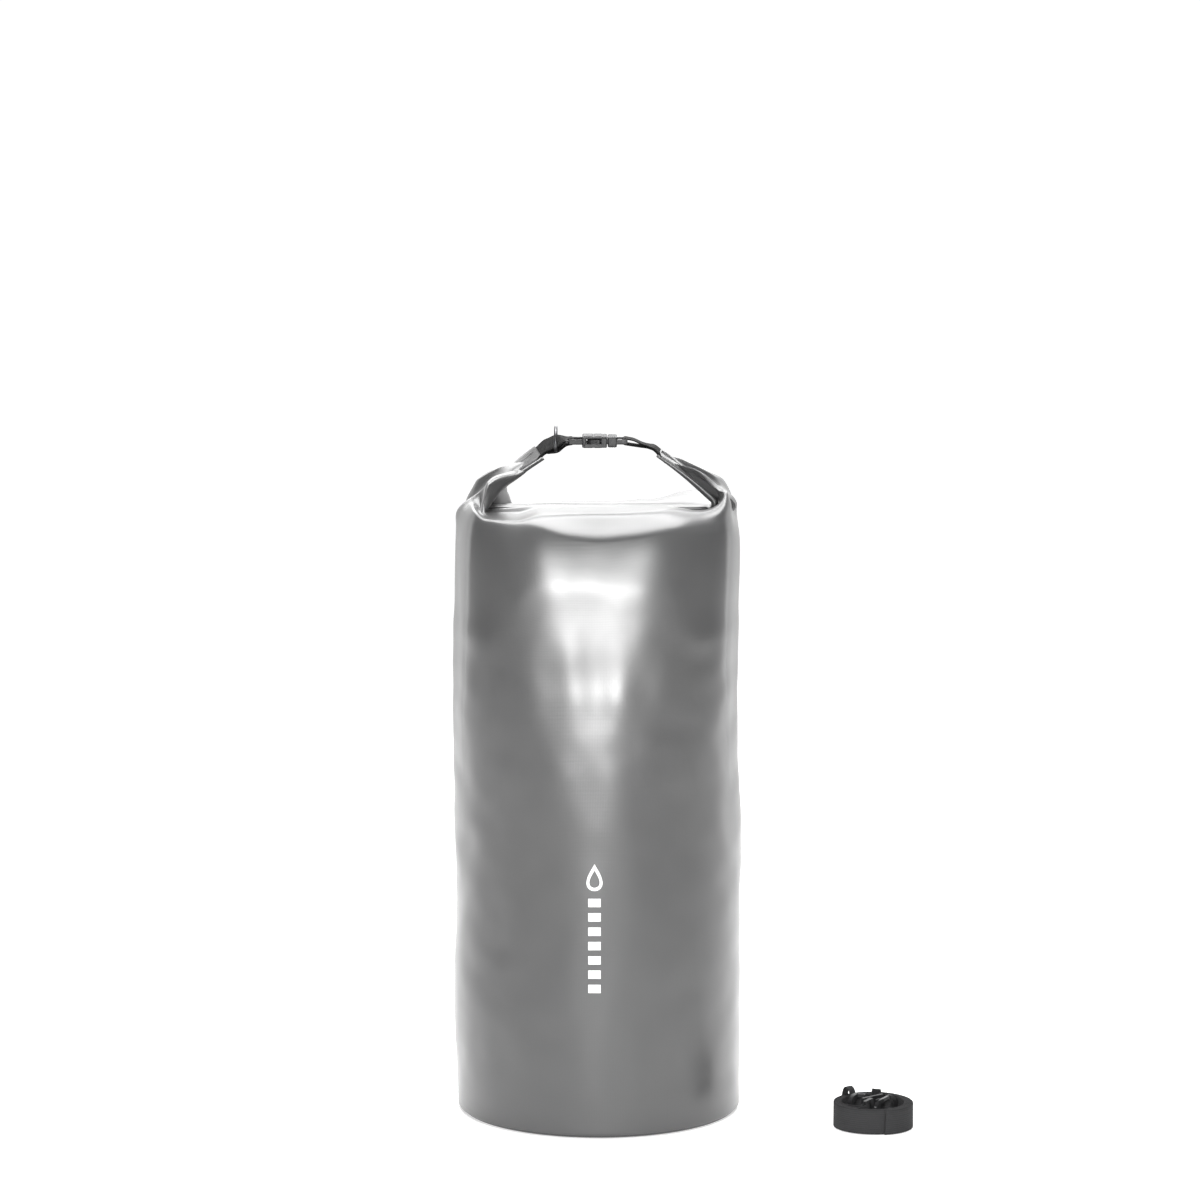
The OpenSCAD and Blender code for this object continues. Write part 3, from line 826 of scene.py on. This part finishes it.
def tilted_widths(path, tilt, start_x, end_x):
    """Width directions that turn from level at end_x to tilt at start_x, to meet the twisted roll."""
    psi = np.radians(tilt) * ease(path[:, 0], end_x, start_x)
    return np.stack([0 * psi, -np.cos(psi), -np.sin(psi)], axis=1)


gap = TOP_WIRE + SLACK + WEB_T / 2
left_line = loop_path(
    -0.0285,
    ((-0.0680, 0.6660), (-0.0672, 0.6690)),
    [(-0.0560, 0.6775), (-0.0500, 0.6795), (TOP_BAR[0], TOP_BAR[1] - gap), (-0.0360, 0.6822)],
    [(-0.0360, 0.6876), (TOP_BAR[0], TOP_BAR[1] + gap), (-0.0500, 0.6826), (-0.0560, 0.6795)],
)
right_line = loop_path(
    0.0268,
    ((0.0680, 0.6660), (0.0672, 0.6690)),
    [(0.0570, 0.6772), (0.0510, 0.6795), (0.0440, 0.6805), (0.0350, 0.6818)],
    [(0.0350, 0.6872), (0.0430, 0.6836), (0.0510, 0.6811), (0.0570, 0.6788)],
)
WEB = band_section(WEB_W, WEB_T)
for side, word, half, line, turning in (
    (-1, "left", "housing_side", left_line, (LEFT_TILT, -0.0440, -0.0300)),
    (1, "right", "plug_side", right_line, (RIGHT_TILT, 0.066, 0.046)),
):
    mesh = swept(f"{word}_webbing_loop", line, tilted_widths(line, *turning), WEB)
    web = place(f"{word}_webbing_loop", mesh, WEBBING, None, [f"{word}_tab", f"{word}_webbing"])
    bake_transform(web)


# ---------- D-rings ----------
RING_HALF, RING_LEG = 0.01475, 0.003
LOWER_BAR_Y, LOWER_BAR_Z = 0.14865, 0.090


def d_ring(name, at, up, across, body, node):
    """Wire D-ring: straight bar along across through at, bow towards up."""
    at, up, across = (np.array(v, float) for v in (at, up, across))
    half, leg = RING_HALF, RING_LEG
    line = [(y, 0.0) for y in np.linspace(-half + 0.0014, half - 0.0014, 12)]
    line += [(half - 0.0004, 0.0004), (half, 0.0016)]
    line += [(half * math.cos(a), leg + half * math.sin(a)) for a in np.linspace(0.03, math.pi - 0.03, 40)]
    line += [(-half, 0.0016), (-half + 0.0004, 0.0004)]
    path = np.array([at + across * y + up * z for y, z in line])
    mesh = swept(name, path, np.cross(up, across), round_section(TOP_WIRE, 18), closed=True)
    place(name, mesh, METAL, body, [node])


lean = math.radians(LEFT_TILT)
d_ring("upper_ring", (TOP_BAR[0], 0, TOP_BAR[1]), (0, -math.sin(lean), math.cos(lean)),
       (0, math.cos(lean), math.sin(lean)), "upper_d_ring", "top_ring")
d_ring("lower_ring_wire", (0, LOWER_BAR_Y, LOWER_BAR_Z), (0, 0, -1), (1, 0, 0), "lower_d_ring", "lower_ring")

# ---------- side-release buckle ----------
BUCKLE_AT = (0, 0, 1000 * BUCKLE_Z)


def pair(bm, low, high, r):
    """Adds a block and its mirror image across the XZ plane."""
    for side in (-1, 1):
        y0, y1 = sorted((side * low[1], side * high[1]))
        block(bm, (low[0], y0, low[2]), (high[0], y1, high[2]), r)


def housing(bm):
    """Socket half: two walls with their end, side rails, webbing bar, grip ribs."""
    half = 17.0
    for z0, z1 in ((3.1, 5.5), (-5.5, -3.1)):
        block(bm, (-17.0, -half, z0), (8.0, half, z1), 1.0)
    block(bm, (-17.0, -half, -5.5), (-12.6, half, 5.5), 1.4)
    pair(bm, (2.2, half - 2.3, -5.4), (8.0, half, 5.4), 0.9)
    pair(bm, (-30.4, 13.2, -2.6), (-15.0, 16.0, 2.6), 1.0)
    block(bm, (-34.0, -16.0, -1.8), (-30.6, 16.0, 2.2), 1.1)
    rod(bm, (-28.5, -14.0, 0), (-28.5, 14.0, 0), 2.0)
    for x0, x1 in ((-15.8, -6.4), (-4.6, 3.0)):
        block(bm, (x0, -13.6, 4.6), (x1, 13.6, 6.15), 0.7)
        block(bm, (x0, -13.6, -6.15), (x1, 13.6, -4.6), 0.7)
    for x in (4.6, 5.9, 7.1):
        block(bm, (x - 0.35, -12.0, 5.2), (x + 0.35, 12.0, 5.85), 0.25, 2)
    pair(bm, (-14.6, 16.4, -5.5), (7.6, 17.7, -1.7), 0.6)


def plug(bm):
    """Plug half: collar, centre tongue, side rails, webbing bar, grip ribs."""
    half = 16.5
    block(bm, (8.8, -half, -5.2), (18.0, half, 5.2), 1.3)
    block(bm, (-11.5, -3.6, -2.3), (12.0, 3.6, 2.3), 0.8)
    pair(bm, (16.5, 13.2, -2.4), (28.6, 16.0, 2.4), 1.0)
    rod(bm, (26.8, -14.0, 0), (26.8, 14.0, 0), 2.0)
    for x in (11.2, 13.4, 15.6):
        block(bm, (x - 0.6, -13.5, 4.7), (x + 0.6, 13.5, 5.6), 0.35, 2)
        block(bm, (x - 0.6, -13.5, -5.6), (x + 0.6, 13.5, -4.7), 0.35, 2)
    block(bm, (18.6, -12.6, -0.9), (23.6, 12.6, 0.9), 0.5)


def latch(side):
    """Latch arm at the front (-1) or rear (1): arm with its button, ribs and root."""
    def build(bm):
        outline = [(11, 9.1), (11, 11.9), (1.4, 12.2), (1.4, 15.6), (0.4, 16.6), (-7, 16.6), (-10, 15.0),
                   (-12, 12.2), (-12, 9.6), (0, 9.4)]
        points = [(x, side * y) for x, y in outline]
        prism(bm, points if side > 0 else points[::-1], -2.6, 2.6, 0.5)
        for x in (-7.6, -5.8, -4.0, -2.2):
            y0, y1 = sorted((side * 16.1, side * 17.15))
            block(bm, (x - 0.45, y0, -2.2), (x + 0.45, y1, 2.2), 0.3, 2)
        rod(bm, (11, side * 10.5, -2.65), (11, side * 10.5, 2.65), 1.85)

    return build


for name, build, body, node in (
    ("buckle_socket", housing, "housing_side", "buckle_housing"),
    ("buckle_insert", plug, "plug_side", "buckle_plug"),
    ("latch_front", latch(-1), "front_latch", "front_latch_arm"),
    ("latch_rear", latch(1), "rear_latch", "rear_latch_arm"),
):
    place(name, moulding(name, build, BUCKLE_AT), PLASTIC, body, [node])


# ---------- stitching ----------
THREAD_R = 0.00028


def stitch_row(name, points, out, body, zigzag, pitch):
    """Row of sewn thread on a surface: points along the row, out is the surface's outward direction."""
    line = resample(points, pitch)
    out = unit(out)
    side = unit(np.cross(np.gradient(line, axis=0), out))
    path = []
    for i, p in enumerate(line):
        sway = side[i] * zigzag * (1 if i % 2 else -1)
        path.append(p + sway + out * THREAD_R * (0.2 if i % 2 else 0.9))
    mesh = swept(name, resample(path, pitch / 3), out, round_section(THREAD_R, 6))
    place(name, mesh, THREAD, body)


# ---------- back of the bag: seam tape, patch, tab ----------
def skin_sheet(name, angles, heights, off, thick, trim=None):
    """Sheet on the bag's skin: a grid of angles by heights, off metres out and thick metres deep."""
    count, rows = len(angles), len(heights)
    outer, inner = [], []
    for z in heights:
        for a in angles:
            angle, height = trim(a, z) if trim else (a, z)
            outer.append(on_skin(angle, height, off + thick))
            inner.append(on_skin(angle, height, off - 0.0004))
    points = outer + inner
    n = count * rows
    faces = []
    for r in range(rows - 1):
        for k in range(count - 1):
            a = r * count + k
            faces.append((a, a + 1, a + count + 1, a + count))
            faces.append((n + a, n + a + count, n + a + count + 1, n + a + 1))
    edge = list(range(count)) + [r * count + count - 1 for r in range(1, rows)]
    edge += [(rows - 1) * count + k for k in range(count - 2, -1, -1)]
    edge += [r * count for r in range(rows - 2, 0, -1)]
    for i, a in enumerate(edge):
        b = edge[(i + 1) % len(edge)]
        faces.append((a, n + a, n + b, b))
    flat = [(math.atan2(p[1], p[0]) * BAG_R, p[2]) for p in points]
    mesh = mesh_of(name, points, faces, [flat[q] for f in faces for q in f])
    fix_outside(mesh)
    mesh.set_sharp_from_angle(angle=math.radians(50))
    return mesh


BACK = math.pi / 2
TAPE_HALF = 0.011 / BAG_R
PATCH_HALF, PATCH_Z, PATCH_RISE = 0.036 / BAG_R, 0.102, 0.040


def round_patch(a, z):
    """Pulls the patch's grid in at its corners, so that they are round."""
    u, v = (a - BACK) / PATCH_HALF, (z - PATCH_Z) / PATCH_RISE
    corner = max(abs(u), abs(v))
    if corner < 1e-9:
        return a, z
    k = corner / (abs(u) ** 8 + abs(v) ** 8) ** (1 / 8)
    return BACK + u * k * PATCH_HALF, PATCH_Z + v * k * PATCH_RISE


tape = skin_sheet("seam_tape_strip", BACK + np.linspace(-TAPE_HALF, TAPE_HALF, 9),
                  np.linspace(0.006, 0.560, 110), 0.0001, 0.0007)
place("seam_tape_strip", tape, TAPE, "bag", ["back_seam_tape"])
patch = skin_sheet("back_patch", BACK + np.linspace(-PATCH_HALF, PATCH_HALF, 31),
                   np.linspace(PATCH_Z - PATCH_RISE, PATCH_Z + PATCH_RISE, 33), 0.0008, 0.0009, round_patch)
place("back_patch", patch, TAPE, "bag", ["ring_patch"])

tab_y = on_skin(BACK, 0.12, 0.0018 + WEB_T / 2).y
tab_line = [(tab_y, 0.130), (tab_y, 0.115), (tab_y + 0.0002, 0.100)]
tab_line += [(LOWER_BAR_Y - gap * math.cos(a), LOWER_BAR_Z - gap * math.sin(a)) for a in HALF_TURN]
tab_line += [(LOWER_BAR_Y + gap - 0.0010, 0.0985), (tab_y + WEB_T + 0.0004, 0.1060),
             (tab_y + WEB_T + 0.0001, 0.1180), (tab_y + WEB_T + 0.0001, 0.1290)]
tab = swept("ring_tab_webbing", resample([(0, y, z) for y, z in tab_line], 0.0012), (1, 0, 0), WEB)
place("ring_tab_webbing", tab, WEBBING, "bag", ["ring_tab"])
tab_face = tab_y + 1.5 * WEB_T
for i, z in enumerate((0.1275, 0.1100)):
    row = [(-0.0105, tab_face, z), (0.0105, tab_face, z)]
    stitch_row(f"tab_bartack_{i}", row, (0, 1, 0), "bag", 0.0011, 0.0009)

# ---------- coiled shoulder strap ----------
COIL = np.array((0.276, -0.090))
COIL_IN, COIL_STEP = 0.0318, 0.00112
HOOK_TURN, HOOK_TILT = math.radians(40), math.radians(12)
HOOK_BAR = -0.0192
STRAP_T = 0.00105


def hook_matrix(turn):
    """Where a hook lies in the coil, as the CAD places it."""
    return (
        Matrix.Translation((COIL[0], COIL[1], 0))
        @ Matrix.Rotation(turn, 4, "Z")
        @ Matrix.Translation((0, -0.013, 0.021))
        @ Matrix.Rotation(-HOOK_TILT, 4, "Y")
    )


def coil_radius(layer, angle):
    """Radius of a wound layer: not quite round, as stiff webbing winds."""
    uneven = 1 + 0.012 * math.cos(2 * angle + 0.5) + 0.008 * math.cos(3 * angle + 1.1)
    return (COIL_IN + COIL_STEP * layer) * uneven


def strap_half(which, turns):
    """One half of the doubled strap, from its hook's bar outward: points and width directions."""
    to_world = hook_matrix(HOOK_TURN + (math.pi if which == "a" else 0))
    r = BUCKLE_BAR + SLACK + WEB_T / 2
    local = [(HOOK_BAR - 0.0135, -r * 0.52), (HOOK_BAR - 0.009, -r * 0.52), (HOOK_BAR - 0.0035, -r * 0.85)]
    local += [(HOOK_BAR + r * math.sin(a), -r * math.cos(a)) for a in HALF_TURN]
    local += [(HOOK_BAR - 0.0035, r * 0.85), (HOOK_BAR - 0.0075, r * 0.5)]
    points = [tuple(to_world @ Vector((x, y, 0))) for x, y in local]
    widths = [tuple(to_world.to_3x3() @ Vector((0, 0, 1)))] * len(points)
    bar = to_world @ Vector((HOOK_BAR, 0, 0))
    bar_angle = math.atan2(bar.y - COIL[1], bar.x - COIL[0])
    first = bar_angle - math.radians(40)
    z0 = WEB_W / 2 + 0.0004
    steps = int(turns * 72)
    for i in range(steps + 1):
        a = first - math.tau * turns * i / steps
        layer = 2 * turns * i / steps + (0 if i > 12 else -0.35 * (1 - i / 12))
        radius = coil_radius(layer, a)
        lift = 0.0012 * math.exp(-i / 5.0) if i < 30 else 0.0
        wander = 0.00035 * math.sin(2.3 * a + layer)
        height = z0 + lift + wander * 0.6 + 0.0003
        points.append((COIL[0] + radius * math.cos(a), COIL[1] + radius * math.sin(a), height))
        widths.append((0.0, 0.0, 1.0))
    return points, widths


def whole_strap():
    """Both halves joined by the fold at the outside of the coil."""
    a_points, a_widths = strap_half("a", 3.30)
    b_points, b_widths = strap_half("b", 3.80)
    fold_a, fold_b = np.array(a_points[-1]), np.array(b_points[-1])
    middle = (fold_a + fold_b) / 2
    radial = unit(np.array((middle[0] - COIL[0], middle[1] - COIL[1], 0)))
    onward = np.cross(radial, (0, 0, 1))
    half = np.linalg.norm((fold_a - fold_b)[:2]) / 2
    points = a_points + [tuple(middle + onward * half * 1.5)] + b_points[::-1]
    widths = a_widths + [(0.0, 0.0, 1.0)] + b_widths[::-1]
    both = np.hstack([np.array(points), np.array(widths)])
    fine = resample(both, 0.0018)
    return fine[:, :3], fine[:, 3:]


strap_line, strap_up = whole_strap()
strap = place("coiled_strap", swept("coiled_strap", strap_line, strap_up, band_section(WEB_W, STRAP_T, 2)),
              STRAP_PAINTED_LIGHT, "shoulder_strap", ["strap_webbing", "strap_end_a", "strap_end_b"])

# an elastic keeper loop that stands above the rim
keeper_at = math.radians(128)
keeper_out = np.array((math.cos(keeper_at), math.sin(keeper_at), 0.0))
keeper_foot = np.array((COIL[0], COIL[1], 0.0)) + keeper_out * (coil_radius(7.6, keeper_at) + 0.0018)
keeper_line = [keeper_foot + keeper_out * out + np.array((0, 0, up)) for out, up in (
    (0.0, 0.006), (0.0004, 0.014), (0.0002, 0.022), (-0.0008, 0.0285), (-0.0032, 0.0325), (-0.0062, 0.0334),
    (-0.0092, 0.0322), (-0.0112, 0.0288), (-0.0118, 0.0240), (-0.0119, 0.0185),
)]
keeper_side = (math.sin(keeper_at), -math.cos(keeper_at), 0.0)
place("strap_keeper", swept("strap_keeper", resample(np.array(keeper_line), 0.0012), keeper_side,
                            band_section(0.008, 0.0013)), STRAP_PAINTED_LIGHT, "shoulder_strap")

# ---------- printed mark: a generic drop over a column of bars ----------
MARK_X, INK_OFF = -0.0045, 0.00025


def drop(cz, scale, steps=44):
    """Outline of a drop, point up, about a height."""
    turns = [math.tau * k / steps for k in range(steps)]
    across = [0.82 * math.sin(t) * math.sin(t / 2) ** 1.35 for t in turns]
    return [(MARK_X + scale * x, cz + scale * math.cos(t)) for x, t in zip(across, turns)]


def bar(cz, half_w, half_h, steps=11):
    """A bar's top and lower edge."""
    xs = np.linspace(-half_w, half_w, steps)
    return [(MARK_X + x, cz + half_h) for x in xs], [(MARK_X + x, cz - half_h) for x in xs]


def strips(name, shapes):
    """Bands of ink on the bag's front, each between two lines of (across, height), open or closed."""
    points, faces = [], []
    for one, other, closed in shapes:
        base, n = len(points), len(one)
        points += [on_skin(-math.pi / 2 + x / BAG_R, z, INK_OFF) for x, z in [*one, *other]]
        for k in range(n if closed else n - 1):
            m = (k + 1) % n
            faces.append((base + k, base + m, base + n + m, base + n + k))
    return mesh_of(name, points, faces, [(0, 0)] * (4 * len(faces)))


marks = [(*bar(0.240 - 0.0145 * i, 0.0062, 0.0042), False) for i in range(7)]
marks.append((drop(0.2655, 0.0135), drop(0.2640, 0.0088), True))
place("front_print", strips("front_print", marks), INK, "bag")

# ---------- finishes of the CAD shapes that stay ----------
for node, material in (
    ("mouth_stiffener", STRIP), ("strap_slider", PLASTIC), ("hook_a", PLASTIC), ("hook_b", PLASTIC),
    ("hook_a_gate", GATE), ("hook_b_gate", GATE),
):
    shape = bpy.data.objects[node]
    shape.data.materials.clear()
    shape.data.materials.append(material)

# ---------- studio ----------
floor_mesh = bpy.data.meshes.new("studio_floor")
floor_mesh.from_pydata([(-9, -9, 0), (9, -9, 0), (9, 9, 0), (-9, 9, 0)], [], [(0, 1, 2, 3)])
floor = bpy.data.objects.new("studio_floor", floor_mesh)
scene.collection.objects.link(floor)
# pale paper that glows a little, with a painted contact shadow: its glow is dimmed close to the bag and the
# coil
paper = Graph("floor_paper")
grain = paper.noise(paper.object_space(), 300.0)
# painted contact shadow: ambient occlusion lowers the floor's glow near the bag and the coil
near = paper.node("ShaderNodeAmbientOcclusion", Distance=0.045)
paper.set(
    Base_Color=paper.colour(grain, (0.62, 0.62, 0.62), (0.66, 0.66, 0.66)),
    Roughness=paper.scaled(grain, 0, 1, 0.85, 0.95),
    Specular_IOR_Level=0.1,
    Emission_Color=(1, 1, 1, 1),
    Emission_Strength=paper.scaled(near.outputs["AO"], 0.35, 1.0, 0.50, 0.86),
)
floor_mesh.materials.append(paper.material)

world = bpy.data.worlds.new("studio")
scene.world = world
world.use_nodes = True
sky = world.node_tree
nodes, links = sky.nodes, sky.links
towards = nodes.new("ShaderNodeSeparateXYZ")
links.new(nodes.new("ShaderNodeTexCoord").outputs["Generated"], towards.inputs[0])
rear = nodes.new("ShaderNodeMapRange")
rear.interpolation_type = "SMOOTHSTEP"
links.new(towards.outputs[1], rear.inputs[0])
# grey in front and brighter behind, with a white backdrop for the camera alone
for i, value in enumerate((0.52, 0.95, 0.19, 1.20), 1):
    rear.inputs[i].default_value = value
seen = nodes.new("ShaderNodeMix")
links.new(nodes.new("ShaderNodeLightPath").outputs["Is Camera Ray"], seen.inputs[0])
links.new(rear.outputs[0], seen.inputs[2])
seen.inputs[3].default_value = 1.05
links.new(seen.outputs[0], nodes["Background"].inputs[1])
nodes["Background"].inputs[0].default_value = (1, 1, 1, 1)


def softbox(name, at, target, width, height, power):
    """Rectangular light of so many watts that faces target and doesn't show itself."""
    light = bpy.data.lights.new(name, "AREA")
    light.shape = "RECTANGLE"
    light.size, light.size_y, light.energy = width, height, power
    made = bpy.data.objects.new(name, light)
    made.location = at
    made.visible_camera = False
    made.rotation_euler = (Vector(target) - Vector(at)).to_track_quat("-Z", "Y").to_euler()
    scene.collection.objects.link(made)


softbox("overhead", (0, 0.3, 3.0), (0, 0, 0), 2.6, 2.6, 36)
softbox("top_box", (0, -0.05, 1.5), (0, -0.05, 0), 1.1, 0.7, 26)
softbox("rear_top", (0, 1.8, 1.9), (0, 0, 0.6), 2.4, 1.4, 42)
softbox("key_front", (-0.05, -2.5, 0.74), (0, 0, 0.5), 0.30, 0.30, 50)
softbox("side_left", (-1.25, 0.75, 0.6), (0, 0, 0.35), 0.5, 1.4, 3)
softbox("side_right", (1.25, 0.75, 0.6), (0, 0, 0.35), 0.5, 1.4, 3)
scene.view_settings.view_transform = "Standard"
